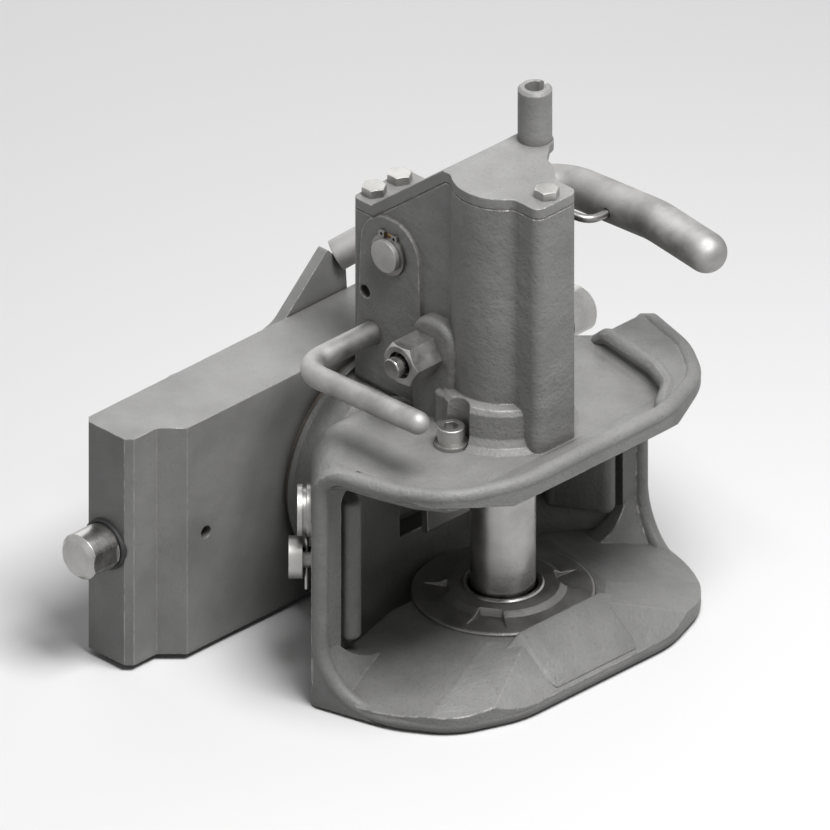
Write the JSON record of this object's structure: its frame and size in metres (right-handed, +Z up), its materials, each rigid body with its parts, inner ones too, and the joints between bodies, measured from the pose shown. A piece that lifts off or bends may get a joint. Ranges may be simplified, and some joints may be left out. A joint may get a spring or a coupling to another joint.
{
  "type": "tractor clevis coupling",
  "caption": "Automatic clevis coupling: a rotatable cast jaw with a drop pin, hand lever and trigger, on a height-adjustable carrier plate with sprung lock bolts.",
  "frame": {"origin": "on the lock bolts' common axis in the middle of the carrier plate, which is also the jaw's swivel axis", "axes": "+X out of the jaw's mouth, +Y along the plate's width, away from the closing handle, +Z up"},
  "size_m": [0.2536, 0.4126, 0.3425],
  "materials": {
    "cast_paint": "satin paint over a sand-cast surface",
    "plate_paint": "satin paint on machined plate",
    "cover_paint": "satin paint",
    "handle_steel": "dull plated bar",
    "ground_steel": "ground",
    "forged_steel": "forged, blasted",
    "zinc_steel": "zinc plated",
    "spring_steel": "oiled",
    "bronze": "machined",
    "brake_lining": "pressed lining",
    "gasket_sheet": "fibre sheet",
    "black_rubber": "moulded"
  },
  "bodies": {
    "carrier": {"carrier_plate": "plate_paint", "bolt_wipers": "black_rubber", "rear_cover": "plate_paint", "rear_cover_screws": "zinc_steel", "swivel_bush": "bronze", "friction_ring": "brake_lining", "pivot_circlip": "spring_steel", "lever_washer": "zinc_steel", "lock_spring_right": "spring_steel", "lock_spring_left": "spring_steel"},
    "lock_lever": {"lock_lever_plate": "plate_paint", "lever_grip": "handle_steel"},
    "right_bolt": {"lock_bolt_right": "ground_steel", "driver_pin_right": "ground_steel"},
    "left_bolt": {"lock_bolt_left": "ground_steel", "driver_pin_left": "ground_steel"},
    "jaw": {"jaw_body": "cast_paint", "wear_ring": "forged_steel", "lower_bush": "ground_steel", "upper_bush": "bronze", "side_guide_right": "cast_paint", "side_guide_left": "cast_paint", "guide_screws": "zinc_steel", "guide_washers": "zinc_steel", "guide_pins": "zinc_steel", "split_pins": "zinc_steel", "spindle_nut": "zinc_steel", "thrust_washer": "ground_steel", "tower_cover": "cover_paint", "cover_gasket": "gasket_sheet", "cover_bolts": "zinc_steel", "cable_socket": "cover_paint", "cap_screw": "zinc_steel", "cap_washer": "zinc_steel", "lever_bushes": "bronze", "indicator_housing": "zinc_steel", "indicator_spring": "spring_steel", "closing_spring": "spring_steel"},
    "drop_pin": {"coupling_pin": "ground_steel", "cross_pin": "ground_steel"},
    "lever": {"hand_lever": "handle_steel", "lift_arm": "forged_steel", "lever_circlip": "spring_steel"},
    "trigger_lever": {"trigger": "forged_steel", "closing_handle": "handle_steel", "handle_circlip": "spring_steel"},
    "indicator": {"indicator_pin": "ground_steel"}
  },
  "joints": [
    {"name": "lock_lever_turn", "type": "hinge", "parent": "carrier", "child": "lock_lever", "pos_m": [0, 0, 0], "axis": [1, 0, 0], "range_deg": [0, 30], "stiffness_Nm_per_rad": 5, "springref_deg": -22.92},
    {"name": "right_bolt_slide", "type": "slide", "parent": "carrier", "child": "right_bolt", "axis": [0, -1, 0], "range_m": [0, 0.024], "deforming": ["lock_spring_right"]},
    {"name": "left_bolt_slide", "type": "slide", "parent": "carrier", "child": "left_bolt", "axis": [0, 1, 0], "range_m": [0, 0.024], "deforming": ["lock_spring_left"]},
    {"name": "jaw_swivel", "type": "hinge", "parent": "carrier", "child": "jaw", "pos_m": [0, 0, 0], "axis": [1, 0, 0], "continuous": true},
    {"name": "hand_lever_turn", "type": "hinge", "parent": "jaw", "child": "lever", "pos_m": [0.073, 0, 0.158], "axis": [0, -1, 0], "range_deg": [0, 76.79], "stiffness_Nm_per_rad": 2.5, "springref_deg": -34.38, "deforming": ["closing_spring"]},
    {"name": "pin_lift", "type": "slide", "parent": "jaw", "child": "drop_pin", "axis": [0, 0, 1], "range_m": [0, 0.108]},
    {"name": "trigger_swing", "type": "hinge", "parent": "jaw", "child": "trigger_lever", "pos_m": [0.0588, 0, 0.1], "axis": [0, 1, 0], "range_deg": [0, 8], "stiffness_Nm_per_rad": 2, "springref_deg": -28.65},
    {"name": "indicator_slide", "type": "slide", "parent": "jaw", "child": "indicator", "axis": [0, 1, 0], "range_m": [0, 0.005], "stiffness_N_per_m": 600, "springref_m": -0.005, "deforming": ["indicator_spring"]}
  ],
  "couplings": [
    {"joint": "right_bolt_slide", "follows": "lock_lever_turn", "m_per_rad": 0.045837},
    {"joint": "left_bolt_slide", "follows": "lock_lever_turn", "m_per_rad": 0.045837},
    {"joint": "pin_lift", "follows": "hand_lever_turn", "m_per_rad": 0.080584}
  ]
}
